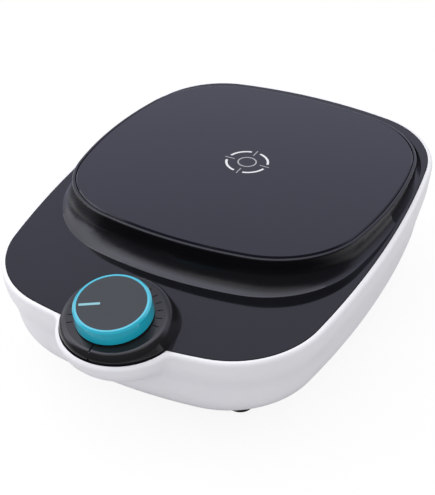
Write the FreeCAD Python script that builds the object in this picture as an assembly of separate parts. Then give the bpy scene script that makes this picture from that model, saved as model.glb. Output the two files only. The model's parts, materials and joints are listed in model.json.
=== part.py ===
import FreeCAD, Part
import math
import os

os.makedirs("parts", exist_ok=True)

V = FreeCAD.Vector
UP = V(0, 0, 1)

# Driving dimensions, millimetres and degrees
# Heights count from the table, plan positions from the plate centre
plate_top = 61.5
plate_half = 67.0
plate_side_radius = 171.0
plate_corner_radius = 40.0
plate_thickness = 4.0
plate_gap = 0.4
plate_edge_break = 0.5

rim_width = 1.3
rim_drop = 0.5
rim_bevel = 0.7
sweep_front = 10.0
sweep_back = 2.4
sweep_side = 3.8
sweep_share = 0.62
sweep_sink = 0.3
drum_wall = 2.6
deck_thickness = 2.5

panel_half_width = 72.8
panel_half_depth = 93.5
panel_centre_y = -19.6
panel_side_radius = 398.0
panel_end_radius = 203.0
panel_corner_radius = 38.0
panel_slope = 4.545
panel_depth_at_plate = 7.82
panel_thickness = 2.5
panel_gap = 0.3

slit_width = 2.3
slit_drop = 8.1
slit_front_y = -4.0
gutter_wall = 2.0

lobe_radius = 23.4
lobe_centre_y = -106.4

shell_rim = 2.4
shell_rim_drop = 0.2
shell_rim_round = 1.6
brim_lift = 8.0
shell_wall = 3.8
shell_floor = 2.6
shell_floor_thickness = 2.6
wall_draft_inset = 4.5
wall_bow = 1.4
corner_follow = 0.4
round_run = 31.0
round_rise = 26.0
bulge_rim = 1.7
bulge_run = 31.0
bulge_rise = 24.0
bulge_radius_low = 5.0
bulge_blend = 4.0

foot_radius = 5.5
foot_pad_radius = 6.5
foot_edge_round = 0.8
foot_x = 38.0
foot_front_y = -80.0
foot_back_y = 41.5

case_screw_x = 36.0
case_screw_front_y = -57.0
case_screw_back_y = 24.0
case_boss_radius = 4.2
case_pillar_radius = 5.2
case_pillar_top = 9.0
case_head_depth = 3.6
case_screw_length = 12.0

screw_radius = 1.5
screw_hole_clearance = 0.25
screw_head_radius = 2.75
screw_head_height = 1.9
screw_recess_radius = 0.9
screw_recess_depth = 1.1

knob_tilt = 13.24
knob_cap_y = -112.2
knob_cap_drop = 2.82
knob_radius_top = 14.9
knob_radius_low = 15.2
knob_height = 6.3
knob_edge_round = 0.7
knob_cap_radius = 13.4
knob_cap_thickness = 1.4
knob_web = 1.4
knob_skirt = 1.7
knob_hub_radius = 5.0
knob_hub_depth = 4.5
pointer_width = 1.1
pointer_inner = 4.3
pointer_outer = 12.4
pointer_depth = 0.4
pointer_angle = -153.0

dial_radius = 21.4
dial_drop = 7.2
dial_deck = 2.4
dial_wall = 2.2
dial_edge_round = 2.8
dial_groove_width = 0.7
dial_groove_depth = 0.5

control_opening = 15.0
control_radius = 8.2
control_length = 7.0
control_tab_spacing = 5.0
control_tab_width = 1.2
control_tab_length = 4.0
control_tab_thickness = 0.6
bushing_radius = 3.5
control_shaft_radius = 3.0
shaft_running_gap = 0.05
bushing_height = 2.2
washer_radius = 6.0
washer_thickness = 0.4
nut_across_flats = 10.0
nut_thickness = 1.8

motor_radius = 18.0
motor_length = 25.0
motor_edge_round = 2.0
motor_boss_radius = 5.0
motor_boss_height = 2.0
motor_shaft_radius = 1.6
motor_screw_circle = 12.5
bracket_top = 40.0
bracket_thickness = 1.5
bracket_radius = 34.0
bracket_screw_circle = 29.0
bracket_screw_length = 7.0
motor_screw_depth = 3.0
post_radius = 4.5
damper_thickness = 2.0
damper_radius = 4.2
damper_collar = 1.0

holder_length = 60.0
holder_width = 21.0
holder_thickness = 6.5
holder_top = 52.6
holder_hub_radius = 6.0
holder_hub_length = 5.0
magnet_radius = 8.0
magnet_depth = 4.5
magnet_spacing = 38.0
yoke_thickness = 1.2
yoke_width = 17.0
set_screw_radius = 1.25
set_screw_sink = 0.5

board_width = 56.0
board_depth = 34.0
board_thickness = 1.6
board_height = 14.0
board_centre_y = -62.0
board_hole_inset = 4.0
board_post_radius = 3.2
board_screw_length = 6.0
capacitor_radius = 4.0
capacitor_height = 11.0
capacitor_round = 0.6
capacitor_x = 2.0
capacitor_spacing = 12.0
driver_x = -16.0
driver_width = 10.0
driver_depth = 7.0
driver_height = 2.2
socket_x = 14.0
socket_width = 8.0
socket_depth = 5.0
socket_height = 5.5

inlet_x = 30.0
inlet_height = 24.0
inlet_radius = 5.5
inlet_length = 14.0
inlet_flange_radius = 7.0
inlet_flange_thickness = 1.5
inlet_bore_radius = 3.2
inlet_bore_depth = 9.5
inlet_pin_radius = 1.0
inlet_pin_sink = 1.0
inlet_nut_flats = 14.0
inlet_nut_thickness = 2.5
inlet_pocket_radius = 8.5
inlet_panel_thickness = 2.4
inlet_fit = 0.15
inlet_nut_clearance = 0.5

inlet_inset = 6.0
inlet_boss_depth = 9.0

lead_radius = 0.8
lead_bend = 3.0
lead_spread = 1.1
lead_run = 7.0
lead_height = 9.0
control_lead_drop = 6.0

# Values that follow from the sizes above
slope = math.tan(math.radians(panel_slope))
rim_half = plate_half + plate_gap + rim_width
front_reach = lobe_radius + panel_gap + bulge_rim - lobe_centre_y
back_reach = panel_half_depth + panel_centre_y + panel_gap + shell_rim
origin_shift = V(0, (front_reach - back_reach) / 2, 0)
deck_top = plate_top - plate_thickness
deck_low = deck_top - deck_thickness
rim_top = plate_top - rim_drop
slit_floor = plate_top - slit_drop
floor_top = shell_floor + shell_floor_thickness
bracket_low = bracket_top - bracket_thickness
motor_low = bracket_low - motor_length
knob_axis = V(0, -math.sin(math.radians(knob_tilt)), math.cos(math.radians(knob_tilt)))
knob_centre = V(0, knob_cap_y, plate_top - knob_cap_drop)


def panel_height(y):
    """Height of the sloped panel face at a plan position."""
    return plate_top - panel_depth_at_plate + slope * y


# Shared construction helpers

def bowed_outline(half_x, half_y, side_r, end_r, corner_r, centre_y, height):
    """Closed wire with four bowed sides joined by tangent corner arcs."""
    side_c = V(half_x - side_r, 0, 0)
    end_c = V(0, half_y - end_r, 0)
    span = end_c - side_c
    d = span.Length
    along = (d * d + (side_r - corner_r) ** 2 - (end_r - corner_r) ** 2) / (2 * d)
    rise = math.sqrt((side_r - corner_r) ** 2 - along ** 2)
    unit = span * (1 / d)
    cross = V(-unit.y, unit.x, 0)
    picks = [side_c + unit * along + cross * s * rise for s in (1, -1)]
    corner = max(picks, key=lambda c: c.x + c.y)
    a_dir = (corner - side_c).normalize()
    b_dir = (corner - end_c).normalize()
    a = side_c + a_dir * side_r
    b = end_c + b_dir * end_r
    mid = corner + (a_dir + b_dir).normalize() * corner_r

    def put(p, sx, sy):
        return V(p.x * sx, p.y * sy + centre_y, height)

    edges = []
    tip_x = V(half_x, 0, 0)
    tip_y = V(0, half_y, 0)
    for sx, sy in ((1, 1), (-1, 1), (-1, -1), (1, -1)):
        corner_arc = Part.Arc(put(a, sx, sy), put(mid, sx, sy), put(b, sx, sy)).toShape()
        if sx * sy > 0:
            end_arc = Part.Arc(put(b, sx, sy), put(tip_y, 1, sy), put(b, -sx, sy)).toShape()
            edges += [corner_arc, end_arc]
        else:
            side_arc = Part.Arc(put(a, sx, sy), put(tip_x, sx, 1), put(a, sx, -sy)).toShape()
            edges += [corner_arc, side_arc]
    return Part.Wire(Part.__sortEdges__(edges))


def plate_outline(offset, height):
    """Outline of the top plate grown outwards by an offset."""
    return bowed_outline(plate_half + offset, plate_half + offset, plate_side_radius + offset,
                         plate_side_radius + offset, plate_corner_radius + offset, 0, height)


def panel_outline(offset, height):
    """Outline of the sloped panel grown outwards by an offset, without the dial lobe."""
    return bowed_outline(panel_half_width + offset, panel_half_depth + offset,
                         panel_side_radius + offset, panel_end_radius + offset,
                         panel_corner_radius + offset, panel_centre_y, height)


def prism(wire, height):
    return Part.Face(wire).extrude(V(0, 0, height))


def cylinder(radius, height, base, axis=UP):
    return Part.makeCylinder(radius, height, base, axis)


def above_panel(lift):
    """Large block whose under face is the sloped panel plane raised by a lift."""
    block = Part.makeBox(600, 600, 200, V(-300, -300, 0))
    block.rotate(V(0, 0, 0), V(1, 0, 0), panel_slope)
    block.translate(V(0, 0, panel_height(0) + lift))
    return block


def on_knob(point):
    """Point given along the dial axes carried to its tilted place."""
    rot = FreeCAD.Rotation(V(1, 0, 0), knob_tilt)
    return rot.multVec(point) + knob_centre


def turned(profile):
    """Solid of revolution about the knob axis from radius and height pairs."""
    pts = [V(r, 0, h) for r, h in profile]
    face = Part.Face(Part.makePolygon(pts + pts[:1]))
    return tilt(face.revolve(V(0, 0, 0), UP, 360))


def tilt(shape):
    shape.rotate(V(0, 0, 0), V(1, 0, 0), knob_tilt)
    shape.translate(knob_centre)
    return shape


def hexagon(flats, height, bore, base, axis):
    """Hexagon nut with a round bore."""
    corner = flats / math.sqrt(3)
    pts = [V(corner * math.cos(math.radians(60 * i)), corner * math.sin(math.radians(60 * i)), 0)
           for i in range(7)]
    nut = Part.Face(Part.makePolygon(pts)).extrude(V(0, 0, height))
    nut = nut.cut(cylinder(bore, height, V(0, 0, 0)))
    nut.Placement = FreeCAD.Placement(base, FreeCAD.Rotation(UP, axis))
    return nut


def screw(base, axis, length):
    """Pan head screw; base is the seat under the head, axis points along the shank."""
    head = cylinder(screw_head_radius, screw_head_height, base, axis * -1)
    top = base - axis * screw_head_height
    rim = [e for e in head.Edges if e.Closed and (e.CenterOfMass - top).Length < 0.01]
    head = head.makeFillet(screw_head_height * 0.45, rim)
    body = head.fuse(cylinder(screw_radius, length, base, axis)).removeSplitter()
    drive = cylinder(screw_recess_radius, screw_recess_depth, top, axis)
    return body.cut(drive)


def lead(points, radius):
    """Round lead along straight runs joined by tangent bends."""
    edges = []
    start = points[0]
    for i in range(1, len(points) - 1):
        back = (points[i - 1] - points[i]).normalize()
        ahead = (points[i + 1] - points[i]).normalize()
        half = back.getAngle(ahead) / 2
        trim = lead_bend / math.tan(half)
        p = points[i] + back * trim
        q = points[i] + ahead * trim
        bisect = (back + ahead).normalize()
        m = points[i] + bisect * (lead_bend / math.sin(half) - lead_bend)
        edges += [Part.makeLine(start, p), Part.Arc(p, m, q).toShape()]
        start = q
    edges.append(Part.makeLine(start, points[-1]))
    path = Part.Wire(edges)
    ring = Part.Wire(Part.makeCircle(radius, points[0], points[1] - points[0]))
    return path.makePipeShell([ring], True, True)


def group(solids):
    return Part.makeCompound(solids)


def save(name, shape):
    shape.translate(origin_shift)
    shape.exportStep("parts/" + name + ".step")


def four(x, front, back):
    """Four mirrored plan places."""
    return [(sx * x, y) for sx in (1, -1) for y in (front, back)]


# White tub with drafted walls, a rounded underside and a bulge below the dial

def tub_outline(inset, step, height):
    """Outline of the tub wall; a step narrows it more than it tightens its corners."""
    grow = panel_gap + shell_rim - inset
    return bowed_outline(panel_half_width + grow - step, panel_half_depth + grow - step,
                         panel_side_radius + grow - step, panel_end_radius + grow - step,
                         panel_corner_radius + grow - step * corner_follow, panel_centre_y, height)


def tub(inset, low):
    """Tub body and bulge shrunk inwards by an inset and closed at a low height."""
    straight = shell_floor + round_rise
    brim = panel_height(0)
    wires = [leaning(tub_outline(inset, 0, 0), panel_slope, brim + brim_lift)]
    for i in range(3):
        t = i / 3
        wire = tub_outline(inset, wall_draft_inset * t ** wall_bow, 0)
        wires.append(leaning(wire, panel_slope * (1 - t), brim + (straight - brim) * t))
    for i in range(6):
        a = math.radians(90 * i / 5)
        step = wall_draft_inset + round_run * (1 - math.cos(a))
        wires.append(tub_outline(inset, step, straight - (straight - low) * math.sin(a)))
    body = Part.makeLoft(wires, True, False)
    top_radius = lobe_radius + panel_gap + bulge_rim - inset
    ring = Part.Wire(Part.makeCircle(top_radius, V(0, lobe_centre_y, 0)))
    circles = [leaning(ring, panel_slope, brim + brim_lift)]
    for i in range(7):
        a = math.radians(90 * i / 6)
        radius = bulge_radius_low + (top_radius - bulge_radius_low) * math.cos(a)
        y = lobe_centre_y + bulge_run * (1 - math.cos(a))
        ring = Part.Wire(Part.makeCircle(radius, V(0, y, 0)))
        circles.append(leaning(ring, panel_slope, brim - bulge_rise * math.sin(a)))
    bulge = Part.makeLoft(circles, True, False)
    return body, bulge


def leaning(wire, angle, height):
    """Flat wire leaned back about the plate's cross axis and raised."""
    wire.rotate(V(0, 0, 0), V(1, 0, 0), angle)
    wire.translate(V(0, 0, height))
    return wire


def seam_edge(edge):
    """True for the edge where the bulge leaves the front wall."""
    box = edge.BoundBox
    across = box.XMin < -lobe_radius / 2 and box.XMax > lobe_radius / 2
    return across and box.ZLength > bulge_rise / 2 and box.YMax < lobe_centre_y / 2


def lower_shell():
    body, bulge = tub(0, shell_floor)
    outer = body.fuse(bulge).cut(above_panel(-shell_rim_drop)).Solids[0]
    outer = outer.makeFillet(bulge_blend, [e for e in outer.Edges if seam_edge(e)])
    brim = max(outer.Faces, key=lambda f: f.CenterOfMass.z)
    outer = outer.makeFillet(shell_rim_round, brim.Edges)
    outer = outer.cut(Part.makeBox(600, 600, shell_floor, V(-300, -300, 0)))
    for x, y in four(foot_x, foot_front_y, foot_back_y):
        outer = outer.fuse(cylinder(foot_pad_radius, round_rise / 2, V(x, y, shell_floor)))
    inner_body, inner_bulge = tub(shell_wall, floor_top)
    shell = outer.cut(inner_body.fuse(inner_bulge))
    seat = panel_prism(panel_gap).common(above_panel(-panel_thickness))
    shell = shell.cut(seat)
    shell = shell.cut(gutter(panel_gap).common(panel_prism(panel_gap)))
    for x, y in four(case_screw_x, case_screw_front_y, case_screw_back_y):
        pillar = cylinder(case_pillar_radius, case_pillar_top - shell_floor, V(x, y, shell_floor))
        shell = shell.fuse(pillar)
    for x, y in four(board_width / 2 - board_hole_inset, *board_rows()):
        post = cylinder(board_post_radius, board_height - shell_floor, V(x, y, shell_floor))
        shell = shell.fuse(post)
    for x, y in bracket_places():
        shell = shell.fuse(cylinder(post_radius, post_top - shell_floor, V(x, y, shell_floor)))
    inner_face = inlet_seat - BACK * inlet_panel_thickness
    boss = cylinder(inlet_pocket_radius + shell_wall, inlet_boss_depth, inner_face, BACK)
    shell = shell.fuse(boss.common(body))
    shell = shell.cut(cylinder(inlet_pocket_radius, back_reach, inlet_seat, BACK))
    nut_room = inlet_nut_flats / math.sqrt(3) + inlet_nut_clearance
    shell = shell.cut(cylinder(nut_room, inlet_length, inner_face, BACK * -1))
    shell = shell.cut(cylinder(inlet_radius + inlet_fit, back_reach, inner_face - BACK * shell_wall, BACK))
    for x, y in four(case_screw_x, case_screw_front_y, case_screw_back_y):
        shell = shell.cut(cylinder(screw_radius + screw_hole_clearance, plate_top, V(x, y, 0)))
        shell = shell.cut(cylinder(screw_head_radius + screw_hole_clearance, case_head_seat, V(x, y, 0)))
    for x, y in four(board_width / 2 - board_hole_inset, *board_rows()):
        low = V(x, y, board_height - board_screw_length)
        shell = shell.cut(cylinder(screw_radius, board_screw_length, low))
    for x, y in bracket_places():
        low = V(x, y, post_top - bracket_screw_length)
        shell = shell.cut(cylinder(screw_radius, bracket_screw_length, low))
    return shell


def feet():
    pads = []
    for x, y in four(foot_x, foot_front_y, foot_back_y):
        pad = cylinder(foot_radius, shell_floor, V(x, y, 0))
        low = [e for e in pad.Edges if e.Closed and e.CenterOfMass.z < 0.01]
        pads.append(pad.makeFillet(foot_edge_round, low))
    return group(pads)


def case_screws():
    return group([screw(V(x, y, case_head_seat), UP, case_screw_length)
                  for x, y in four(case_screw_x, case_screw_front_y, case_screw_back_y)])


# Black cover: sloped panel, drum around the plate, drain slit and screw bosses

def panel_prism(offset):
    """Tall prism of the panel outline with its dial lobe."""
    tall = 2 * plate_top
    lobe = cylinder(lobe_radius + offset, tall, V(0, lobe_centre_y, 0))
    return prism(panel_outline(offset, 0), tall).fuse(lobe).removeSplitter()


def sweep_outline(spread, share):
    """Drum outline at a share of its height, spread out at the foot; the foot leans with the panel."""
    side = rim_half + sweep_side * spread
    end = rim_half + (sweep_front + sweep_back) / 2 * spread
    shift = (sweep_back - sweep_front) / 2 * spread
    grow = side - plate_half
    wire = bowed_outline(side, end, plate_side_radius + grow, plate_side_radius + grow,
                         plate_corner_radius + grow, shift, 0)
    low = panel_height(0) - sweep_sink
    return leaning(wire, panel_slope * (1 - share), low + (rim_top - low) * share)


def drum():
    """Drum around the plate with a hollow sweep down to its foot."""
    wires = []
    for i in range(7):
        a = math.radians(90 * i / 6)
        wires.append(sweep_outline(1 - math.sin(a), sweep_share * (1 - math.cos(a))))
    wires.append(sweep_outline(0, (1 + sweep_share) / 2))
    wires.append(sweep_outline(0, 1))
    body = Part.makeLoft(wires, True, False)
    top = max(body.Faces, key=lambda f: f.CenterOfMass.z)
    return body.makeFillet(rim_bevel, top.Edges)


def slit_side(wall):
    """Block that takes in the sides and back of the drum, where the slit runs, less a wall in front."""
    return Part.makeBox(600, 600, 2 * plate_top, V(-300, slit_front_y - wall, 0))


def gutter(clearance):
    """Trough under the slit, grown by a clearance."""
    edge = rim_half - plate_half
    low = slit_floor - gutter_wall - clearance
    trough = prism(plate_outline(edge + slit_width + gutter_wall + clearance, low), plate_top)
    return trough.common(slit_side(gutter_wall + clearance)).cut(above_panel(-panel_thickness / 2))


def top_cover():
    edge = rim_half - plate_half
    outline = panel_prism(0)
    slab = above_panel(-panel_thickness).cut(above_panel(0))
    cover = slab.fuse(drum()).common(outline)
    cover = cover.fuse(gutter(0).common(outline))
    cover = cover.cut(prism(plate_outline(edge - drum_wall, 0), deck_low))
    cover = cover.cut(prism(plate_outline(plate_gap, deck_top), plate_top))
    ring = prism(plate_outline(edge + slit_width, slit_floor), plate_top)
    ring = ring.cut(prism(plate_outline(edge, 0), 2 * plate_top)).common(slit_side(0))
    cover = cover.cut(ring)
    cover = cover.cut(cylinder(control_opening, plate_top, on_knob(V(0, 0, -plate_top / 2)), knob_axis))
    for x, y in four(case_screw_x, case_screw_front_y, case_screw_back_y):
        height = deck_top - case_pillar_top - deck_thickness / 2
        cover = cover.fuse(cylinder(case_boss_radius, height, V(x, y, case_pillar_top)))
    for x, y in four(case_screw_x, case_screw_front_y, case_screw_back_y):
        cover = cover.cut(cylinder(screw_radius, case_screw_length, V(x, y, case_head_seat)))
    return cover.removeSplitter()


def top_plate():
    plate = prism(plate_outline(0, deck_top), plate_thickness)
    top = [e for e in plate.Edges if abs(e.BoundBox.ZMin - plate_top) < 0.01]
    return plate.makeChamfer(plate_edge_break, top)


# Dial ring, speed control and knob on the tilted axis

def dial_cone(shrink, drop):
    """Skew cone from the lobe on the panel up to the dial face."""
    normal = V(0, -math.sin(math.radians(panel_slope)), math.cos(math.radians(panel_slope)))
    foot = V(0, lobe_centre_y, panel_height(lobe_centre_y))
    low = Part.makeCircle(lobe_radius - panel_gap - shrink, foot, normal)
    high = Part.makeCircle(dial_radius - shrink, on_knob(V(0, 0, -drop)), knob_axis)
    return Part.makeLoft([Part.Wire(low), Part.Wire(high)], True, True)


def dial_bezel():
    ring = dial_cone(0, dial_drop)
    face = on_knob(V(0, 0, -dial_drop))
    top = [e for e in ring.Edges if e.Closed and (e.CenterOfMass - face).Length < 0.1]
    ring = ring.makeFillet(dial_edge_round, top)
    ring = ring.cut(dial_cone(dial_wall, dial_drop + dial_deck))
    groove = dial_cone(0, dial_drop).cut(dial_cone(dial_groove_depth, dial_drop + dial_groove_depth))
    corner = V(-dial_groove_width / 2, -lobe_radius - knob_radius_low, -plate_top)
    front = tilt(Part.makeBox(dial_groove_width, lobe_radius, 2 * plate_top, corner))
    ring = ring.cut(groove.common(front))
    low = on_knob(V(0, 0, -2 * dial_drop))
    return ring.cut(cylinder(bushing_radius + shaft_running_gap, dial_drop, low, knob_axis))


def control_body():
    top = -dial_drop - dial_deck
    tip = -dial_drop + bushing_height
    can = turned([(0, top - control_length), (control_radius, top - control_length),
                  (control_radius, top), (bushing_radius, top), (bushing_radius, tip), (0, tip)])
    bore = cylinder(control_shaft_radius + shaft_running_gap, plate_top, shaft_low, knob_axis)
    can = can.cut(bore)
    for i in (-1, 0, 1):
        can = can.fuse(control_tab(i * control_tab_spacing))
    return can.removeSplitter()


def control_tab(x):
    """Solder tab standing out of the back of the speed control."""
    corner = V(x - control_tab_width / 2, control_radius - control_tab_length / 2,
               -dial_drop - dial_deck - control_length / 2)
    tab = Part.makeBox(control_tab_width, control_tab_length, control_tab_thickness, corner)
    return tilt(tab)


def control_shaft():
    return cylinder(control_shaft_radius, shaft_length, shaft_low, knob_axis)


def control_washer():
    ring = cylinder(washer_radius, washer_thickness, on_knob(V(0, 0, -dial_drop)), knob_axis)
    return ring.cut(cylinder(bushing_radius + shaft_running_gap, plate_top, shaft_low, knob_axis))


def control_nut():
    base = on_knob(V(0, 0, washer_thickness - dial_drop))
    return hexagon(nut_across_flats, nut_thickness, bushing_radius, base, knob_axis)


def knob_grip():
    low = -knob_height
    seat = -knob_cap_thickness
    web = seat - knob_web
    inner = knob_radius_low - knob_skirt
    grip = turned([(0, seat), (knob_cap_radius, seat), (knob_cap_radius, 0),
                   (knob_radius_top - knob_edge_round, 0), (knob_radius_top, -knob_edge_round),
                   (knob_radius_low, low), (inner, low), (inner, web), (knob_hub_radius, web),
                   (knob_hub_radius, -knob_hub_depth), (0, -knob_hub_depth)])
    return grip.cut(cylinder(control_shaft_radius, shaft_length, shaft_low, knob_axis))


def pointer_bar():
    bar = Part.makeBox(pointer_outer - pointer_inner, pointer_width, pointer_depth,
                       V(pointer_inner, -pointer_width / 2, -pointer_depth))
    bar.rotate(V(0, 0, 0), UP, pointer_angle)
    return tilt(bar)


def knob_cap():
    base = on_knob(V(0, 0, -knob_cap_thickness))
    cap = cylinder(knob_cap_radius, knob_cap_thickness, base, knob_axis)
    return cap.cut(pointer_bar())


# Motor hung from its bracket, with the magnet rotor on its shaft

def bracket_places():
    turns = [math.radians(a) for a in (90, 210, 330)]
    return [(bracket_screw_circle * math.cos(a), bracket_screw_circle * math.sin(a)) for a in turns]


def motor_screw_places():
    return [(s * motor_screw_circle, 0) for s in (1, -1)]


def motor_bracket():
    plate = cylinder(bracket_radius, bracket_thickness, V(0, 0, bracket_low))
    plate = plate.cut(cylinder(motor_boss_radius + screw_hole_clearance, plate_top, V(0, 0, 0)))
    for a in (30, 150, 270):
        x = bracket_screw_circle * math.cos(math.radians(a))
        y = bracket_screw_circle * math.sin(math.radians(a))
        plate = plate.cut(cylinder(post_radius * 2, plate_top, V(x * 1.2, y * 1.2, 0)))
    for x, y in bracket_places():
        plate = plate.cut(cylinder(damper_neck, plate_top, V(x, y, 0)))
    for x, y in motor_screw_places():
        plate = plate.cut(cylinder(screw_radius + screw_hole_clearance, plate_top, V(x, y, 0)))
    return plate


def motor_dampers():
    rings = []
    for x, y in bracket_places():
        low = cylinder(damper_radius, damper_thickness, V(x, y, post_top))
        neck = cylinder(damper_neck, bracket_thickness, V(x, y, bracket_low))
        high = cylinder(damper_radius, damper_thickness / 2, V(x, y, bracket_top))
        ring = low.fuse(neck).fuse(high).removeSplitter()
        rings.append(ring.cut(cylinder(screw_radius, plate_top, V(x, y, 0))))
    return group(rings)


def bracket_screws():
    seat = bracket_top + damper_thickness / 2
    return group([screw(V(x, y, seat), UP * -1, seat - post_top + bracket_screw_length)
                  for x, y in bracket_places()])


def motor_can():
    can = cylinder(motor_radius, motor_length, V(0, 0, motor_low))
    can = can.makeFillet(motor_edge_round, [e for e in can.Edges if e.Closed])
    can = can.fuse(cylinder(motor_boss_radius, motor_boss_height, V(0, 0, bracket_low)))
    bore_low = V(0, 0, motor_low + motor_edge_round)
    can = can.cut(cylinder(motor_shaft_radius + shaft_running_gap, plate_top, bore_low))
    for x, y in motor_screw_places():
        can = can.cut(cylinder(screw_radius, motor_screw_depth, V(x, y, bracket_low - motor_screw_depth)))
    return can


def motor_screws():
    return group([screw(V(x, y, bracket_top), UP * -1, bracket_thickness + motor_screw_depth)
                  for x, y in motor_screw_places()])


def motor_shaft():
    length = holder_top - magnet_depth - rotor_shaft_low
    return cylinder(motor_shaft_radius, length, V(0, 0, rotor_shaft_low))


def magnet_places():
    return [(s * magnet_spacing / 2, 0) for s in (1, -1)]


def magnet_holder():
    bar = Part.makeBox(holder_length, holder_width, holder_thickness,
                       V(-holder_length / 2, -holder_width / 2, holder_low))
    bar = bar.common(cylinder(holder_length / 2, holder_thickness, V(0, 0, holder_low)))
    hub_low = V(0, 0, holder_low - holder_hub_length)
    bar = bar.fuse(cylinder(holder_hub_radius, holder_hub_length, hub_low))
    for x, y in magnet_places():
        bar = bar.cut(cylinder(magnet_radius, magnet_depth, V(x, y, holder_top - magnet_depth)))
    bar = bar.cut(yoke_bar())
    bar = bar.cut(cylinder(motor_shaft_radius, plate_top, V(0, 0, 0)).common(
        cylinder(magnet_radius, holder_top - magnet_depth, V(0, 0, 0))))
    return bar.cut(set_screw()).removeSplitter()


def yoke_bar():
    length = magnet_spacing + yoke_width
    low = holder_top - magnet_depth - yoke_thickness
    return Part.makeBox(length, yoke_width, yoke_thickness, V(-length / 2, -yoke_width / 2, low))


def magnet_yoke():
    return yoke_bar().cut(cylinder(motor_shaft_radius, plate_top, V(0, 0, 0)))


def drive_magnets():
    low = holder_top - magnet_depth
    return group([cylinder(magnet_radius, magnet_depth, V(x, y, low)) for x, y in magnet_places()])


def set_screw():
    length = holder_hub_radius - motor_shaft_radius - set_screw_sink
    start = V(0, -motor_shaft_radius, holder_low - holder_hub_length / 2)
    return cylinder(set_screw_radius, length, start, V(0, -1, 0))


# Control board on four posts

def board_rows():
    reach = board_depth / 2 - board_hole_inset
    return board_centre_y - reach, board_centre_y + reach


def control_board():
    board = Part.makeBox(board_width, board_depth, board_thickness,
                         V(-board_width / 2, board_centre_y - board_depth / 2, board_height))
    for x, y in four(board_width / 2 - board_hole_inset, *board_rows()):
        board = board.cut(cylinder(screw_radius + screw_hole_clearance, plate_top, V(x, y, 0)))
    return board


def board_screws():
    return group([screw(V(x, y, board_top), UP * -1, board_thickness + board_screw_length)
                  for x, y in four(board_width / 2 - board_hole_inset, *board_rows())])


def board_capacitors():
    cans = []
    for i in (-0.5, 0.5):
        place = V(capacitor_x + i * capacitor_spacing, board_centre_y, board_top)
        can = cylinder(capacitor_radius, capacitor_height, place)
        middle = board_top + capacitor_height / 2
        top = [e for e in can.Edges if e.Closed and e.CenterOfMass.z > middle]
        cans.append(can.makeFillet(capacitor_round, top))
    return group(cans)


def board_driver():
    corner = V(driver_x - driver_width / 2, board_centre_y - driver_depth / 2, board_top)
    return Part.makeBox(driver_width, driver_depth, driver_height, corner)


def board_sockets():
    """Lead sockets along the back and front edges of the board."""
    back = board_centre_y + board_depth / 2 - socket_depth
    front = board_centre_y - board_depth / 2
    places = [(socket_x, back), (-socket_x, back), (0, front)]
    corners = [V(x - socket_width / 2, y, board_top) for x, y in places]
    return group([Part.makeBox(socket_width, socket_depth, socket_height, c) for c in corners])


# Power inlet in the back wall

def dc_inlet():
    mouth = inlet_seat + BACK * inlet_flange_thickness
    body = cylinder(inlet_radius, inlet_length, mouth, BACK * -1)
    flange = cylinder(inlet_flange_radius, inlet_flange_thickness, inlet_seat, BACK)
    body = body.fuse(flange).removeSplitter()
    return body.cut(cylinder(inlet_bore_radius, inlet_bore_depth, mouth, BACK * -1))


def inlet_pin():
    floor = inlet_seat + BACK * (inlet_flange_thickness - inlet_bore_depth)
    return cylinder(inlet_pin_radius, inlet_bore_depth - inlet_pin_sink, floor, BACK)


def inlet_nut():
    base = inlet_seat - BACK * inlet_panel_thickness
    return hexagon(inlet_nut_flats, inlet_nut_thickness, inlet_radius, base, BACK * -1)


# Leads between the inlet, the motor, the speed control and the board

def pair(points):
    shifts = [V(s * lead_spread, 0, 0) for s in (1, -1)]
    return group([lead([p + shift for p in points], lead_radius) for shift in shifts])


def inlet_lead():
    start = inlet_seat + BACK * (inlet_flange_thickness - inlet_length)
    bend = start - BACK * lead_run
    back = board_centre_y + board_depth / 2
    return pair([start, bend, V(bend.x, bend.y, lead_height), V(socket_x, back + lead_run, lead_height),
                 V(socket_x, back + lead_run, socket_mid), V(socket_x, back, socket_mid)])


def motor_lead():
    back = board_centre_y + board_depth / 2
    x = -motor_radius / 2
    return pair([V(x, 0, motor_low), V(x, 0, lead_height), V(-socket_x, back + lead_run, lead_height),
                 V(-socket_x, back + lead_run, socket_mid), V(-socket_x, back, socket_mid)])


def control_lead():
    start = on_knob(V(0, 0, -dial_drop - dial_deck - control_length))
    low = start.z - control_lead_drop
    front = board_centre_y - board_depth / 2
    turn = front - lead_run
    return pair([start, V(0, start.y, low), V(0, turn, low), V(0, turn, socket_mid), V(0, front, socket_mid)])


BACK = V(0, 1, 0)
post_top = bracket_low - damper_thickness
damper_neck = damper_radius - damper_collar
case_head_seat = shell_floor + case_head_depth
board_top = board_height + board_thickness
socket_mid = board_top + socket_height / 2
holder_low = holder_top - holder_thickness
rotor_shaft_low = motor_low + 2 * motor_edge_round
shaft_low = on_knob(V(0, 0, -dial_drop - dial_deck - control_length / 2))
shaft_length = dial_drop + dial_deck + control_length / 2 - knob_cap_thickness
inlet_seat = V(inlet_x, back_reach - wall_draft_inset - inlet_inset, inlet_height)

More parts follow.
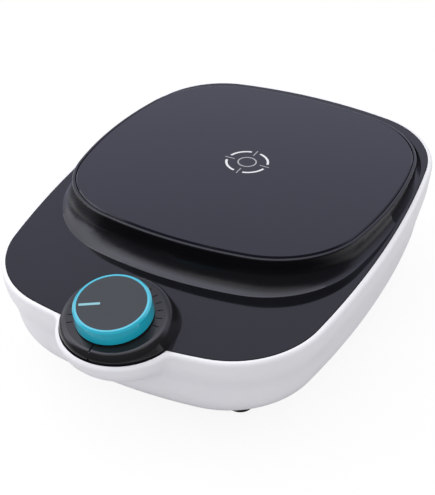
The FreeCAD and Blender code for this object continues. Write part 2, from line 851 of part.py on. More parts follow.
save("lower_shell", lower_shell())
save("feet", feet())
save("case_screws", case_screws())
save("top_cover", top_cover())
save("top_plate", top_plate())
save("dial_bezel", dial_bezel())
save("control_body", control_body())
save("control_shaft", control_shaft())
save("control_washer", control_washer())
save("control_nut", control_nut())
save("knob_grip", knob_grip())
save("knob_cap", knob_cap())
save("knob_pointer", pointer_bar())
save("motor_bracket", motor_bracket())
save("motor_dampers", motor_dampers())
save("bracket_screws", bracket_screws())
save("motor_can", motor_can())
save("motor_screws", motor_screws())
save("motor_shaft", motor_shaft())
save("magnet_holder", magnet_holder())
save("magnet_yoke", magnet_yoke())
save("drive_magnets", drive_magnets())
save("magnet_set_screw", set_screw())
save("control_board", control_board())
save("board_screws", board_screws())
save("board_capacitors", board_capacitors())
save("board_driver", board_driver())
save("board_sockets", board_sockets())
save("dc_inlet", dc_inlet())
save("inlet_pin", inlet_pin())
save("inlet_nut", inlet_nut())
save("inlet_lead", inlet_lead())
save("motor_lead", motor_lead())
save("control_lead", control_lead())
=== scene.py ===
import json
import logging
import math
from dataclasses import dataclass, field
from enum import Enum
from typing import Any, Dict, List, Sequence, Tuple

import bmesh
import bpy
from mathutils import Matrix, Vector

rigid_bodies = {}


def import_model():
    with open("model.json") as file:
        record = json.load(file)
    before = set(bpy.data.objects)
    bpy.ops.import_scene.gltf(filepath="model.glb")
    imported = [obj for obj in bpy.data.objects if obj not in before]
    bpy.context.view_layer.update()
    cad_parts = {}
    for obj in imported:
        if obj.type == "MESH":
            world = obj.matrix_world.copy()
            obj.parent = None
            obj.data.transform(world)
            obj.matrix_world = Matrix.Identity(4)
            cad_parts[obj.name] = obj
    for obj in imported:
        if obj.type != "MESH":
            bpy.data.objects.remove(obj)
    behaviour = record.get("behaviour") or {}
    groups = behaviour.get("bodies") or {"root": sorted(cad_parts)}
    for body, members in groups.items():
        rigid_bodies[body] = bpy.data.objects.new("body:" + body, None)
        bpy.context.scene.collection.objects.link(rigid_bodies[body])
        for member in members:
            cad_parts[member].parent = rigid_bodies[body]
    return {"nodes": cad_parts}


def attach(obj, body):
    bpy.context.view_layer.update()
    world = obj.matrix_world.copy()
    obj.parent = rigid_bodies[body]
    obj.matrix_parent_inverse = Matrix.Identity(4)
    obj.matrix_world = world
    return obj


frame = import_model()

Colour = Tuple[float, float, float, float]
Point = Tuple[float, float, float]
Range = Tuple[float, float]
Socket = bpy.types.NodeSocket

MM = 0.001
PLATE_CENTRE = Vector((0.0, 27.6, 61.5)) * MM
KNOB_CENTRE = Vector((0.0, -84.6, 58.68)) * MM
KNOB_TILT = math.radians(13.24)
PANEL_SLOPE = math.tan(math.radians(4.545))
CHAMFER_SHARE = 0.6
WHITE: Colour = (1.0, 1.0, 1.0, 1.0)
UNIT: Range = (0.0, 1.0)
# Where A, B and Result stand among a Mix node's sockets, by its data type
MIX_SOCKETS = {"FLOAT": (2, 3, 0), "RGBA": (6, 7, 2)}

LOG = logging.getLogger("stirrer")


class Body(Enum):
    """Rigid body that the drawn marks ride on."""

    BASE = "base"


class Slot(Enum):
    """Material slots of the record that the drawn marks take."""

    PALE_MARK = "pale_mark"
    BLACK_PLASTIC = "black_plastic"


class NodeKit:
    """Small helpers for placing and joining nodes in one tree."""

    def __init__(self, tree: bpy.types.NodeTree) -> None:
        """Keeps the tree that nodes are placed in."""
        self.tree = tree

    def add(self, kind: str, **values: Any) -> bpy.types.Node:
        """Places a node and sets its properties.

        Args:
            kind: the node's type name.
            values: properties of the node by name.

        Returns:
            The new node.
        """
        node = self.tree.nodes.new(kind)
        for name, value in values.items():
            setattr(node, name, value)
        return node

    def join(self, start: Socket, end: Socket) -> None:
        """Links an output socket to an input socket."""
        self.tree.links.new(start, end)

    def feed(self, value: Any, end: Socket) -> None:
        """Links a socket to an input, or sets a plain value on it.

        Args:
            value: a socket, a number or a colour.
            end: the input socket.
        """
        if isinstance(value, Socket):
            self.join(value, end)
        else:
            end.default_value = value

    def math(self, operation: str, *values: Any) -> Socket:
        """Places a Math node.

        Args:
            operation: the operation's name.
            values: one or two sockets or numbers.

        Returns:
            The result's socket.
        """
        node = self.add("ShaderNodeMath", operation=operation)
        for value, end in zip(values, node.inputs):
            self.feed(value, end)
        return node.outputs[0]

    def mix(self, kind: str, mask: Socket, low: Any, high: Any) -> Socket:
        """Mixes two numbers or two colours by a mask.

        Args:
            kind: the data type, FLOAT or RGBA.
            mask: the mask's socket.
            low: number, colour or socket at mask 0.
            high: number, colour or socket at mask 1.

        Returns:
            The result's socket.
        """
        first, second, result = MIX_SOCKETS[kind]
        node = self.add("ShaderNodeMix", data_type=kind)
        self.join(mask, node.inputs[0])
        self.feed(low, node.inputs[first])
        self.feed(high, node.inputs[second])
        return node.outputs[result]

    def spread(self, value: Socket, source: Range, target: Range, shape: str = "LINEAR") -> Socket:
        """Maps a value from one range to another.

        Args:
            value: the value's socket.
            source: value at the start and at the end.
            target: result at the start and at the end.
            shape: how the result changes in between.

        Returns:
            The result's socket.
        """
        node = self.add("ShaderNodeMapRange", interpolation_type=shape)
        self.join(value, node.inputs["Value"])
        for name, number in zip(("From Min", "From Max", "To Min", "To Max"), (*source, *target)):
            node.inputs[name].default_value = number
        return node.outputs[0]

    def step(self, value: Socket, source: Range, target: Range) -> Socket:
        """Maps a value from one range to another with soft ends."""
        return self.spread(value, source, target, "SMOOTHSTEP")

    def split(self, vector: Socket) -> bpy.types.NodeOutputs:
        """Splits a vector.

        Args:
            vector: the vector's socket.

        Returns:
            The sockets X, Y and Z by name.
        """
        node = self.add("ShaderNodeSeparateXYZ")
        self.join(vector, node.inputs[0])
        return node.outputs

    def noise(self, place: Socket, scale: Socket, detail: float, rough: float = 0.5) -> Socket:
        """Places a noise.

        Args:
            place: the coordinates' socket.
            scale: the scale's socket.
            detail: number of finer layers.
            rough: weight of the finer layers.

        Returns:
            The noise's socket, from 0 to 1.
        """
        node = self.add("ShaderNodeTexNoise")
        node.inputs["Detail"].default_value = detail
        node.inputs["Roughness"].default_value = rough
        self.join(place, node.inputs["Vector"])
        self.join(scale, node.inputs["Scale"])
        return node.outputs["Fac"]


@dataclass
class SharedEffects:
    """Shader node groups that several finishes use, each built once."""

    cloud_detail: float = 4.0
    cloud_rough: float = 0.55
    fine_detail: float = 2.0
    wave_detail: float = 1.0
    wave_share: float = 0.35
    line_detail: float = 3.0
    line_stretch: float = 0.04
    groups: Dict[str, bpy.types.NodeTree] = field(default_factory=dict)

    def start(self, name: str, inputs: Sequence[str],
              output: str) -> Tuple[NodeKit, bpy.types.NodeOutputs, Socket]:
        """Begins a group with named sockets.

        Args:
            name: the group's name.
            inputs: names of its number inputs, which follow a vector input named Place.
            output: name of its number output.

        Returns:
            A kit for the group's tree, the sockets that come in and the one that goes out.
        """
        tree = bpy.data.node_groups.new(name, "ShaderNodeTree")
        tree.interface.new_socket("Place", in_out="INPUT", socket_type="NodeSocketVector")
        for label in inputs:
            tree.interface.new_socket(label, in_out="INPUT", socket_type="NodeSocketFloat")
        tree.interface.new_socket(output, in_out="OUTPUT", socket_type="NodeSocketFloat")
        self.groups[name] = tree
        kit = NodeKit(tree)
        return kit, kit.add("NodeGroupInput").outputs, kit.add("NodeGroupOutput").inputs[output]

    def cloud(self) -> bpy.types.NodeTree:
        """Gives the slow colour and gloss change over a moulding, as a mask from 0 to 1.

        Returns:
            The group's tree.
        """
        name = "moulding_cloud"
        if name not in self.groups:
            kit, ins, out = self.start(name, ("Scale",), "Mask")
            kit.join(kit.noise(ins["Place"], ins["Scale"], self.cloud_detail, self.cloud_rough), out)
        return self.groups[name]

    def grain(self) -> bpy.types.NodeTree:
        """Gives the fine surface grain of a moulding, as a height.

        Returns:
            The group's tree.
        """
        name = "moulding_grain"
        if name not in self.groups:
            kit, ins, out = self.start(name, ("Scale", "Wave"), "Height")
            fine = kit.noise(ins["Place"], ins["Scale"], self.fine_detail)
            wave = kit.noise(ins["Place"], ins["Wave"], self.wave_detail)
            kit.join(kit.math("ADD", fine, kit.math("MULTIPLY", wave, self.wave_share)), out)
        return self.groups[name]

    def hairlines(self) -> bpy.types.NodeTree:
        """Gives the drawn or turned lines of plain metal, as a mask from 0 to 1.

        Returns:
            The group's tree.
        """
        name = "metal_hairlines"
        if name not in self.groups:
            kit, ins, out = self.start(name, ("Scale",), "Mask")
            way = kit.split(ins["Place"])
            drawn = kit.add("ShaderNodeCombineXYZ")
            kit.join(kit.math("MULTIPLY", way["X"], self.line_stretch), drawn.inputs["X"])
            kit.join(way["Y"], drawn.inputs["Y"])
            kit.join(way["Z"], drawn.inputs["Z"])
            kit.join(kit.noise(drawn.outputs[0], ins["Scale"], self.line_detail), out)
        return self.groups[name]


EFFECTS = SharedEffects()


@dataclass(frozen=True)
class Finish:
    """Surface finish of a moulded, painted or plated piece."""

    name: str
    colour: Colour
    shade: Colour
    rough_low: float
    rough_high: float
    metallic: float = 0.0
    gloss_level: float = 0.5
    coat: float = 0.0
    cloud_scale: float = 40.0
    grain_scale: float = 2500.0
    grain_wave: float = 120.0
    grain_height: float = 0.02 * MM
    grain_strength: float = 0.15
    lined: bool = False

    def material(self) -> bpy.types.Material:
        """Builds the finish once and hands it out again after that.

        Returns:
            The finish as a material.
        """
        found = bpy.data.materials.get(self.name)
        if found is not None:
            return found
        made = bpy.data.materials.new(self.name)
        made.use_nodes = True
        made.node_tree.nodes.clear()
        kit = NodeKit(made.node_tree)
        skin = kit.add("ShaderNodeBsdfPrincipled")
        skin.inputs["Metallic"].default_value = self.metallic
        skin.inputs["Specular IOR Level"].default_value = self.gloss_level
        skin.inputs["Coat Weight"].default_value = self.coat
        kit.join(skin.outputs[0], kit.add("ShaderNodeOutputMaterial").inputs["Surface"])
        place = kit.add("ShaderNodeTexCoord").outputs["Object"]
        mask = self.cloud_mask(kit, place)
        kit.join(self.paint(kit, place, mask), skin.inputs["Base Color"])
        kit.join(self.polish(kit, place, mask), skin.inputs["Roughness"])
        kit.join(self.relief(kit, place), skin.inputs["Normal"])
        return made

    def cloud_mask(self, kit: NodeKit, place: Socket) -> Socket:
        """Places the slow mask that colour and gloss follow.

        Args:
            kit: the material's kit.
            place: the Object coordinates.

        Returns:
            The mask's socket.
        """
        tree = EFFECTS.hairlines() if self.lined else EFFECTS.cloud()
        group = kit.add("ShaderNodeGroup", node_tree=tree)
        kit.join(place, group.inputs["Place"])
        group.inputs["Scale"].default_value = self.cloud_scale
        return group.outputs["Mask"]

    def paint(self, kit: NodeKit, place: Socket, mask: Socket) -> Socket:
        """Colours the surface.

        Args:
            kit: the material's kit.
            place: the Object coordinates.
            mask: the slow mask.

        Returns:
            The colour's socket.
        """
        return kit.mix("RGBA", mask, self.shade, self.colour)

    def polish(self, kit: NodeKit, place: Socket, mask: Socket) -> Socket:
        """Sets how sharply the surface reflects.

        Args:
            kit: the material's kit.
            place: the Object coordinates.
            mask: the slow mask.

        Returns:
            The roughness socket.
        """
        return kit.spread(mask, UNIT, (self.rough_low, self.rough_high))

    def relief(self, kit: NodeKit, place: Socket) -> Socket:
        """Gives the surface its grain.

        Args:
            kit: the material's kit.
            place: the Object coordinates.

        Returns:
            The normal's socket.
        """
        grain = kit.add("ShaderNodeGroup", node_tree=EFFECTS.grain())
        kit.join(place, grain.inputs["Place"])
        grain.inputs["Scale"].default_value = self.grain_scale
        grain.inputs["Wave"].default_value = self.grain_wave
        bump = kit.add("ShaderNodeBump")
        bump.inputs["Strength"].default_value = self.grain_strength
        bump.inputs["Distance"].default_value = self.grain_height
        kit.join(grain.outputs["Height"], bump.inputs["Height"])
        return bump.outputs[0]


@dataclass(frozen=True)
class CoverFinish(Finish):
    """Black cover whose sloped panel carries a slightly blue film."""

    film: Colour = (0.0078, 0.0081, 0.0102, 1.0)
    film_shade: Colour = (0.0062, 0.0065, 0.0084, 1.0)
    film_rough: Range = (0.04, 0.09)
    panel_drop: float = 7.82 * MM
    panel_depth: float = 0.12 * MM

    def on_panel(self, kit: NodeKit, place: Socket) -> Socket:
        """Finds where the surface lies in the panel's sloped plane.

        Args:
            kit: the material's kit.
            place: the Object coordinates.

        Returns:
            A mask that is 1 on the panel.
        """
        way = kit.split(place)
        above = kit.math("SUBTRACT", way["Z"], kit.math("MULTIPLY", way["Y"], PANEL_SLOPE))
        level = PLATE_CENTRE.z - self.panel_drop - PANEL_SLOPE * PLATE_CENTRE.y
        gap = kit.math("ABSOLUTE", kit.math("SUBTRACT", above, level))
        return kit.math("LESS_THAN", gap, self.panel_depth)

    def paint(self, kit: NodeKit, place: Socket, mask: Socket) -> Socket:
        """Colours the cover, and the film on its panel.

        Args:
            kit: the material's kit.
            place: the Object coordinates.
            mask: the slow mask.

        Returns:
            The colour's socket.
        """
        moulded = super().paint(kit, place, mask)
        film = kit.mix("RGBA", mask, self.film_shade, self.film)
        return kit.mix("RGBA", self.on_panel(kit, place), moulded, film)

    def polish(self, kit: NodeKit, place: Socket, mask: Socket) -> Socket:
        """Makes the panel's film sharper than the moulding.

        Args:
            kit: the material's kit.
            place: the Object coordinates.
            mask: the slow mask.

        Returns:
            The roughness socket.
        """
        moulded = super().polish(kit, place, mask)
        film = kit.spread(mask, UNIT, self.film_rough)
        return kit.mix("FLOAT", self.on_panel(kit, place), moulded, film)


class Finishes:
    """Every finish of the stirrer."""

    white = Finish("satin_white_tub", (0.80, 0.80, 0.835, 1), (0.77, 0.77, 0.81, 1), 0.32, 0.44,
                   grain_scale=1800.0, grain_strength=0.12)
    cover = CoverFinish("gloss_black_cover", (0.005, 0.005, 0.006, 1), (0.003, 0.003, 0.004, 1), 0.22, 0.30,
                        gloss_level=0.33, grain_scale=900.0, grain_strength=0.03)
    ring = Finish("gloss_black_dial_ring", (0.014, 0.014, 0.015, 1), (0.011, 0.011, 0.012, 1), 0.12, 0.20,
                  gloss_level=0.30, grain_scale=1200.0, grain_strength=0.06)
    plate = Finish("polished_black_plate", (0.007, 0.0075, 0.0115, 1), (0.005, 0.0055, 0.009, 1), 0.07, 0.13,
                   gloss_level=0.29, cloud_scale=18.0, grain_scale=700.0, grain_strength=0.03)
    rubber = Finish("foot_rubber", (0.020, 0.020, 0.021, 1), (0.013, 0.013, 0.014, 1), 0.65, 0.85,
                    grain_strength=0.4, grain_height=0.05 * MM)
    grip = Finish("cyan_soft_grip", (0.006, 0.42, 0.56, 1), (0.004, 0.38, 0.53, 1), 0.34, 0.46,
                  coat=0.9, grain_scale=3000.0, grain_strength=0.2)
    cap = Finish("dark_grey_cap", (0.032, 0.038, 0.042, 1), (0.028, 0.034, 0.037, 1), 0.55, 0.68,
                 gloss_level=0.35, grain_scale=3500.0, grain_strength=0.3)
    pale = Finish("pale_cyan_inlay", (0.22, 0.47, 0.53, 1), (0.19, 0.43, 0.50, 1), 0.40, 0.50)
    print_white = Finish("white_plate_print", (0.72, 0.72, 0.74, 1), (0.66, 0.66, 0.68, 1), 0.35, 0.45,
                         cloud_scale=300.0)
    print_grey = Finish("grey_plate_print", (0.36, 0.36, 0.38, 1), (0.31, 0.31, 0.33, 1), 0.35, 0.45,
                        cloud_scale=300.0)
    tick = Finish("dark_dial_tick", (0.003, 0.003, 0.003, 1), (0.002, 0.002, 0.002, 1), 0.80, 0.90,
                  gloss_level=0.2, cloud_scale=300.0)
    steel = Finish("plain_steel", (0.55, 0.55, 0.57, 1), (0.46, 0.46, 0.48, 1), 0.26, 0.40,
                   metallic=1.0, cloud_scale=900.0, lined=True)
    zinc = Finish("zinc_screw", (0.52, 0.52, 0.54, 1), (0.40, 0.40, 0.42, 1), 0.28, 0.42,
                  metallic=1.0, cloud_scale=400.0)
    brass = Finish("plain_brass", (0.70, 0.52, 0.22, 1), (0.60, 0.44, 0.18, 1), 0.25, 0.38,
                   metallic=1.0, cloud_scale=900.0, lined=True)
    holder = Finish("machined_aluminium", (0.72, 0.72, 0.74, 1), (0.62, 0.62, 0.64, 1), 0.28, 0.42,
                    metallic=1.0, cloud_scale=700.0, lined=True)
    magnet = Finish("nickel_magnet", (0.66, 0.65, 0.63, 1), (0.58, 0.57, 0.55, 1), 0.12, 0.22,
                    metallic=1.0)
    board = Finish("green_board", (0.015, 0.12, 0.045, 1), (0.010, 0.09, 0.035, 1), 0.30, 0.42,
                   cloud_scale=220.0)
    black = Finish("moulded_black_plastic", (0.018, 0.018, 0.019, 1), (0.013, 0.013, 0.014, 1), 0.40, 0.55,
                   grain_strength=0.25)
    cream = Finish("cream_socket", (0.78, 0.76, 0.68, 1), (0.72, 0.70, 0.62, 1), 0.40, 0.52)
    lead = Finish("lead_insulation", (0.45, 0.03, 0.025, 1), (0.38, 0.02, 0.02, 1), 0.40, 0.55,
                  cloud_scale=200.0)


class RingOfCopies:
    """Geometry Nodes tree that repeats one mark round an axis."""

    def __init__(self) -> None:
        """Builds the tree with its named inputs."""
        self.tree = bpy.data.node_groups.new("ring_of_copies", "GeometryNodeTree")
        face = self.tree.interface
        face.new_socket("Geometry", in_out="INPUT", socket_type="NodeSocketGeometry")
        kinds = {"Count": "Int", "First": "Float", "Step": "Float", "Finish": "Material"}
        self.ids = {name: face.new_socket(name, in_out="INPUT", socket_type="NodeSocket" + kind).identifier
                    for name, kind in kinds.items()}
        face.new_socket("Geometry", in_out="OUTPUT", socket_type="NodeSocketGeometry")
        kit = NodeKit(self.tree)
        ins = kit.add("NodeGroupInput").outputs
        points = kit.add("GeometryNodePoints")
        kit.join(ins["Count"], points.inputs["Count"])
        index = kit.add("GeometryNodeInputIndex")
        turn = kit.math("MULTIPLY", index.outputs[0], ins["Step"])
        euler = kit.add("ShaderNodeCombineXYZ")
        kit.join(kit.math("ADD", turn, ins["First"]), euler.inputs["Z"])
        spin = kit.add("FunctionNodeEulerToRotation")
        kit.join(euler.outputs[0], spin.inputs[0])
        copies = kit.add("GeometryNodeInstanceOnPoints")
        kit.join(points.outputs[0], copies.inputs["Points"])
        kit.join(ins["Geometry"], copies.inputs["Instance"])
        kit.join(spin.outputs[0], copies.inputs["Rotation"])
        real = kit.add("GeometryNodeRealizeInstances")
        kit.join(copies.outputs[0], real.inputs[0])
        dress = kit.add("GeometryNodeSetMaterial")
        kit.join(real.outputs[0], dress.inputs["Geometry"])
        kit.join(ins["Finish"], dress.inputs["Material"])
        kit.join(dress.outputs[0], kit.add("NodeGroupOutput").inputs["Geometry"])

    def make(self, name: str, mark: bpy.types.Mesh, count: int, first: float, step: float, finish: Finish,
             place: Matrix) -> bpy.types.Object:
        """Repeats a mark and turns the result into a plain mesh in its place.

        Args:
            name: name of the new piece.
            mark: mesh of one mark, lying along +X about the ring's axis.
            count: number of copies.
            first: angle of the first copy in degrees.
            step: angle between copies in degrees.
            finish: finish of the marks.
            place: where the ring's plane lies.

        Returns:
            The new piece.
        """
        seed = bpy.data.objects.new(name + "_seed", mark)
        bpy.context.scene.collection.objects.link(seed)
        repeat = seed.modifiers.new("repeat", "NODES")
        repeat.node_group = self.tree
        repeat[self.ids["Count"]] = count
        repeat[self.ids["First"]] = math.radians(first)
        repeat[self.ids["Step"]] = math.radians(step)
        repeat[self.ids["Finish"]] = finish.material()
        graph = bpy.context.evaluated_depsgraph_get()
        mesh = bpy.data.meshes.new_from_object(seed.evaluated_get(graph))
        bpy.data.objects.remove(seed)
        mesh.transform(place)
        mesh.name = name
        piece = bpy.data.objects.new(name, mesh)
        bpy.context.scene.collection.objects.link(piece)
        return piece


def loft(rows: Sequence[Sequence[Point]]) -> bpy.types.Mesh:
    """Joins rows of points into a closed bar.

    Args:
        rows: rows of as many points each, from one end of the bar to the other.

    Returns:
        The bar's mesh.
    """
    work = bmesh.new()
    loops = [[work.verts.new(point) for point in row] for row in rows]
    for loop, following in zip(loops, loops[1:]):
        for k in range(len(loop)):
            n = (k + 1) % len(loop)
            work.faces.new((loop[k], loop[n], following[n], following[k]))
    work.faces.new(loops[0][::-1])
    work.faces.new(loops[-1])
    bmesh.ops.recalc_face_normals(work, faces=work.faces)
    mesh = bpy.data.meshes.new("mark")
    work.to_mesh(mesh)
    work.free()
    return mesh


def sector(radius: float, width: float, sweep: float, height: float, steps: int) -> bpy.types.Mesh:
    """Flat curved bar about the Z axis, centred on +X.

    Args:
        radius: radius of its middle.
        width: its width across.
        sweep: angle that it covers, in degrees.
        height: thickness upwards from the plane.
        steps: number of facets along the arc.

    Returns:
        The bar's mesh.
    """
    inner = radius - width / 2
    outer = radius + width / 2
    profile = ((inner, 0.0), (outer, 0.0), (outer, height), (inner, height))
    angles = [math.radians(sweep) * (i / steps - 0.5) for i in range(steps + 1)]
    return loft([[(r * math.cos(angle), r * math.sin(angle), z) for r, z in profile] for angle in angles])


def bar(inner: float, outer: float, width: float, height: float) -> bpy.types.Mesh:
    """Straight flat bar along +X with chamfered top edges.

    Args:
        inner: where it starts along X.
        outer: where it ends along X.
        width: its width across.
        height: thickness upwards from the plane.

    Returns:
        The bar's mesh.
    """
    rows: List[List[Point]] = []
    for inset, z in ((0.0, 0.0), (height * CHAMFER_SHARE, height)):
        start = inner + inset
        end = outer - inset
        y = width / 2 - inset
        rows.append([(start, -y, z), (end, -y, z), (end, y, z), (start, y, z)])
    return loft(rows)


@dataclass
class Assembly:
    """Nodes that belong together, with their finishes."""

    dressing: Dict[str, Finish] = field(default_factory=dict)

    def dress(self) -> None:
        """Gives every node its finish."""
        for name, finish in self.dressing.items():
            node = frame["nodes"][name]
            if not node.material_slots:
                node.data.materials.append(finish.material())
            for place in node.material_slots:
                place.material = finish.material()
            LOG.info("dressed %s as %s", name, finish.name)


@dataclass
class Casing(Assembly):
    """White tub, black cover, feet, screws and power inlet."""

    dressing: Dict[str, Finish] = field(default_factory=lambda: {
        "lower_shell": Finishes.white,
        "top_cover": Finishes.cover,
        "feet": Finishes.rubber,
        "case_screws": Finishes.zinc,
        "dc_inlet": Finishes.black,
        "inlet_pin": Finishes.brass,
        "inlet_nut": Finishes.brass,
    })


@dataclass
class WorkPlate(Assembly):
    """Top plate with its printed centre target."""

    quarters: int = 4
    quarter: float = 90.0
    facets: int = 16
    arc_radius: float = 9.05 * MM
    arc_width: float = 1.0 * MM
    arc_sweep: float = 64.0
    arc_first: float = 45.0
    ring_radius: float = 3.95 * MM
    ring_width: float = 0.62 * MM
    tick_inner: float = 6.1 * MM
    tick_outer: float = 10.6 * MM
    tick_width: float = 0.46 * MM
    print_height: float = 0.02 * MM
    dressing: Dict[str, Finish] = field(default_factory=lambda: {"top_plate": Finishes.plate})

    def build(self, copies: RingOfCopies) -> List[bpy.types.Object]:
        """Prints the target on the plate.

        Args:
            copies: the tree that repeats a mark.

        Returns:
            The printed pieces.
        """
        arc = sector(self.arc_radius, self.arc_width, self.arc_sweep, self.print_height, self.facets)
        ring = sector(self.ring_radius, self.ring_width, self.quarter, self.print_height, self.facets)
        tick = bar(self.tick_inner, self.tick_outer, self.tick_width, self.print_height)
        marks = (
            ("target_arcs", arc, self.arc_first, Finishes.print_white),
            ("target_ring", ring, 0.0, Finishes.print_grey),
            ("target_ticks", tick, 0.0, Finishes.print_grey),
        )
        place = Matrix.Translation(PLATE_CENTRE)
        pieces = [copies.make(name, mark, self.quarters, first, self.quarter, finish, place)
                  for name, mark, first, finish in marks]
        for piece in pieces:
            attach(piece, Body.BASE.value)
        return pieces


@dataclass
class SpeedDial(Assembly):
    """Dial ring with its ticks, the knob and the control below them."""

    face_drop: float = 7.2 * MM
    tick_inner: float = 15.9 * MM
    tick_outer: float = 18.3 * MM
    tick_width: float = 0.45 * MM
    tick_height: float = 0.03 * MM
    tick_count: int = 17
    tick_first: float = 213.6
    tick_step: float = -13.1
    dressing: Dict[str, Finish] = field(default_factory=lambda: {
        "dial_bezel": Finishes.ring,
        "knob_grip": Finishes.grip,
        "knob_cap": Finishes.cap,
        "knob_pointer": Finishes.pale,
        "control_body": Finishes.steel,
        "control_shaft": Finishes.brass,
        "control_washer": Finishes.steel,
        "control_nut": Finishes.brass,
    })

    def build(self, copies: RingOfCopies) -> List[bpy.types.Object]:
        """Sets the ticks into the dial's face.

        Args:
            copies: the tree that repeats a mark.

        Returns:
            The tick piece.
        """
        tilt = Matrix.Rotation(KNOB_TILT, 4, "X")
        place = Matrix.Translation(KNOB_CENTRE) @ tilt @ Matrix.Translation((0.0, 0.0, -self.face_drop))
        tick = bar(self.tick_inner, self.tick_outer, self.tick_width, self.tick_height)
        piece = copies.make("dial_ticks", tick, self.tick_count, self.tick_first, self.tick_step,
                            Finishes.tick, place)
        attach(piece, Body.BASE.value)
        return [piece]


@dataclass
class Drive(Assembly):
    """Motor, magnet rotor, board and leads inside the casing."""

    dressing: Dict[str, Finish] = field(default_factory=lambda: {
        "motor_bracket": Finishes.steel,
        "motor_dampers": Finishes.rubber,
        "bracket_screws": Finishes.zinc,
        "motor_can": Finishes.steel,
        "motor_screws": Finishes.zinc,
        "motor_shaft": Finishes.steel,
        "magnet_holder": Finishes.holder,
        "magnet_yoke": Finishes.steel,
        "drive_magnets": Finishes.magnet,
        "magnet_set_screw": Finishes.zinc,
        "control_board": Finishes.board,
        "board_screws": Finishes.zinc,
        "board_capacitors": Finishes.black,
        "board_driver": Finishes.black,
        "board_sockets": Finishes.cream,
        "inlet_lead": Finishes.lead,
        "motor_lead": Finishes.lead,
        "control_lead": Finishes.lead,
    })


@dataclass(frozen=True)
class Lamp:
    """Square soft lamp, with its power in watts."""

    name: str
    place: Point
    aim: Point
    size: float
    power: float

    def hang(self) -> None:
        """Hangs the lamp in its place, facing its aim."""
        data = bpy.data.lights.new(self.name, "AREA")
        data.shape = "SQUARE"
        data.size = self.size
        data.energy = self.power
        lamp = bpy.data.objects.new(self.name, data)
        lamp.location = self.place
        lamp.rotation_euler = (Vector(self.aim) - Vector(self.place)).to_track_quat("-Z", "Y").to_euler()
        bpy.context.scene.collection.objects.link(lamp)


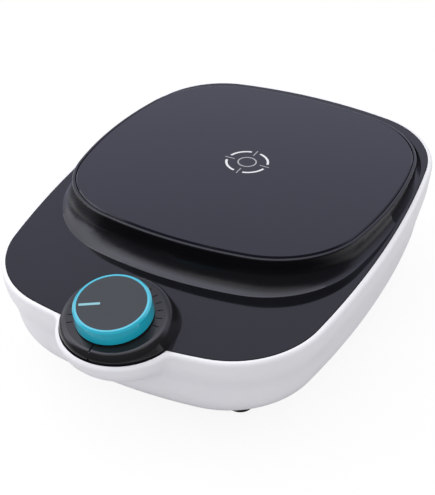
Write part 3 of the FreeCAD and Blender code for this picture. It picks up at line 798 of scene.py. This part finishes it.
@dataclass
class Studio:
    """Pale floor, soft light and the camera."""

    floor_size: float = 3.0
    floor_drop: float = 0.05 * MM
    floor_colour: Colour = (0.71, 0.71, 0.72, 1.0)
    floor_seen: Colour = (0.90, 0.90, 0.91, 1.0)
    floor_white: float = 0.90
    # Painted dark reflection: glossy rays see the floor nearly black on the camera's side, standing in for a
    # dark room
    dark_reflection_range: Range = (0.02, 0.16)
    dark_reflection_colour: Colour = (0.05, 0.05, 0.05, 1.0)
    sky_level: float = 0.80
    front_level: float = 0.14
    front_lift: float = -0.8
    front_range: Range = (-0.95, -0.45)
    arch_width: float = 0.36
    arch_back: float = 0.15
    arch_level: float = 1.8
    arch_rise: Range = (-0.05, 0.25)
    arch_right: float = 0.60
    arch_sides: Range = (-0.25, 0.20)
    mirrored_tint: Colour = (0.90, 0.92, 1.18, 1.0)
    lamps: Tuple[Lamp, ...] = (
        Lamp("overhead", (-0.1, -0.05, 1.2), (0.0, 0.0, 0.0), 1.2, 5.2),
        Lamp("left_soft", (-0.9, -0.1, 0.7), (0.0, 0.0, 0.03), 1.0, 4.0),
    )
    camera_place: Point = (0.20228, -0.39056, 0.32877)
    azimuth: float = 27.37
    elevation: float = 33.92
    roll: float = 0.44
    lens: float = 89.31
    sensor_width: float = 36.0
    clip_start: float = 0.01

    def build(self) -> None:
        """Sets up floor, world, lamps and camera."""
        self.floor()
        self.sky()
        for lamp in self.lamps:
            lamp.hang()
        self.camera()
        bpy.context.scene.view_settings.view_transform = "Standard"

    def ahead(self, kit: NodeKit, way: bpy.types.NodeOutputs) -> Socket:
        """Measures a place or direction along the level line towards the picture's viewpoint.

        Args:
            kit: the tree's kit.
            way: sockets X, Y and Z of the place or direction.

        Returns:
            The measure's socket.
        """
        turn = math.radians(self.azimuth)
        across = kit.math("MULTIPLY", way["X"], math.sin(turn))
        along = kit.math("MULTIPLY", way["Y"], -math.cos(turn))
        return kit.math("ADD", across, along)

    def beside(self, kit: NodeKit, way: bpy.types.NodeOutputs) -> Socket:
        """Measures a place or direction along the level line to the picture's right.

        Args:
            kit: the tree's kit.
            way: sockets X, Y and Z of the place or direction.

        Returns:
            The measure's socket.
        """
        turn = math.radians(self.azimuth)
        across = kit.math("MULTIPLY", way["X"], math.cos(turn))
        along = kit.math("MULTIPLY", way["Y"], math.sin(turn))
        return kit.math("ADD", across, along)

    def floor(self) -> None:
        """Lays the floor just below the feet."""
        half = self.floor_size / 2
        low = -self.floor_drop
        mesh = bpy.data.meshes.new("floor")
        edge = [(-half, -half, low), (half, -half, low), (half, half, low), (-half, half, low)]
        mesh.from_pydata(edge, [], [(0, 1, 2, 3)])
        mesh.materials.append(self.floor_paint())
        ground = bpy.data.objects.new("floor", mesh)
        bpy.context.scene.collection.objects.link(ground)

    def floor_paint(self) -> bpy.types.Material:
        """Makes a floor that looks white to the camera, keeps a soft shadow and is dark ahead in reflections.

        Returns:
            The floor's material.
        """
        paint = bpy.data.materials.new("pale_floor")
        paint.use_nodes = True
        paint.node_tree.nodes.clear()
        kit = NodeKit(paint.node_tree)
        path = kit.add("ShaderNodeLightPath").outputs
        way = kit.split(kit.add("ShaderNodeTexCoord").outputs["Object"])
        # Painted dark reflection: towards the camera, the floor turns nearly black to glossy rays only
        dark_reflection_mask = kit.step(self.ahead(kit, way), self.dark_reflection_range, UNIT)
        dark_in_reflections = kit.math("MULTIPLY", dark_reflection_mask, path["Is Glossy Ray"])
        base = kit.mix("RGBA", path["Is Camera Ray"], self.floor_colour, self.floor_seen)
        matt = kit.add("ShaderNodeBsdfDiffuse")
        kit.join(kit.mix("RGBA", dark_in_reflections, base, self.dark_reflection_colour), matt.inputs["Color"])
        glow = kit.add("ShaderNodeEmission")
        both = kit.add("ShaderNodeMixShader")
        kit.join(kit.math("MULTIPLY", path["Is Camera Ray"], self.floor_white), both.inputs[0])
        kit.join(matt.outputs[0], both.inputs[1])
        kit.join(glow.outputs[0], both.inputs[2])
        kit.join(both.outputs[0], kit.add("ShaderNodeOutputMaterial").inputs["Surface"])
        return paint

    def sky(self) -> None:
        """Makes the soft surrounding light, white where the camera sees it."""
        world = bpy.data.worlds.new("studio")
        bpy.context.scene.world = world
        world.use_nodes = True
        world.node_tree.nodes.clear()
        kit = NodeKit(world.node_tree)
        path = kit.add("ShaderNodeLightPath").outputs
        mirrored = path["Is Glossy Ray"]
        seen = kit.math("MAXIMUM", path["Is Camera Ray"], path["Is Transmission Ray"])
        level = kit.math("ADD", kit.math("MULTIPLY", seen, 1.0 - self.sky_level), self.sky_level)
        plain = kit.math("MULTIPLY", level, kit.math("SUBTRACT", 1.0, mirrored))
        glossy = kit.math("MULTIPLY", mirrored, self.mirrored_level(kit))
        back = kit.add("ShaderNodeBackground")
        kit.join(kit.math("ADD", plain, glossy), back.inputs["Strength"])
        kit.join(kit.mix("RGBA", mirrored, WHITE, self.mirrored_tint), back.inputs["Color"])
        kit.join(back.outputs[0], kit.add("ShaderNodeOutputWorld").inputs["Surface"])

    def mirrored_level(self, kit: NodeKit) -> Socket:
        """Sets what gloss reflects: dim ahead, with a bright arch over both sides.

        Args:
            kit: the world's kit.

        Returns:
            The level's socket.
        """
        way = kit.split(kit.add("ShaderNodeTexCoord").outputs["Generated"])
        ahead = self.ahead(kit, way)
        lowered = kit.math("ADD", ahead, kit.math("MULTIPLY", way["Z"], self.front_lift))
        dim = kit.step(lowered, self.front_range, (1.0, self.front_level))
        off_arch = kit.math("ABSOLUTE", kit.math("ADD", ahead, self.arch_back))
        arch = kit.step(off_arch, (0.0, self.arch_width), (1.0, 0.0))
        side = kit.step(self.beside(kit, way), self.arch_sides, (1.0, self.arch_right))
        high = kit.step(way["Z"], self.arch_rise, (0.0, self.arch_level))
        glow = kit.math("MULTIPLY", kit.math("MULTIPLY", arch, side), high)
        return kit.math("ADD", dim, glow)

    def camera(self) -> None:
        """Sets the camera at the picture's view."""
        turn, rise, roll = (math.radians(angle) for angle in (self.azimuth, self.elevation, self.roll))
        level = Vector((math.cos(turn), math.sin(turn), 0.0))
        back = Vector((math.sin(turn) * math.cos(rise), -math.cos(turn) * math.cos(rise), math.sin(rise)))
        upright = back.cross(level)
        right = level * math.cos(roll) + upright * math.sin(roll)
        up = upright * math.cos(roll) - level * math.sin(roll)
        data = bpy.data.cameras.new("picture_view")
        data.sensor_fit = "AUTO"
        data.sensor_width = self.sensor_width
        data.lens = self.lens
        data.clip_start = self.clip_start
        camera = bpy.data.objects.new("picture_view", data)
        facing = Matrix((right, up, back)).transposed().to_4x4()
        camera.matrix_world = Matrix.Translation(self.camera_place) @ facing
        bpy.context.scene.collection.objects.link(camera)
        bpy.context.scene.camera = camera


def main() -> None:
    """Builds and dresses the stirrer, then lights and frames it."""
    logging.basicConfig(level=logging.INFO)
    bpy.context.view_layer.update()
    copies = RingOfCopies()
    plate = WorkPlate()
    dial = SpeedDial()
    for part in (Casing(), plate, dial, Drive()):
        part.dress()
    for piece in plate.build(copies) + dial.build(copies):
        LOG.info("made %s", piece.name)
    Studio().build()


if __name__ == "__main__":
    main()
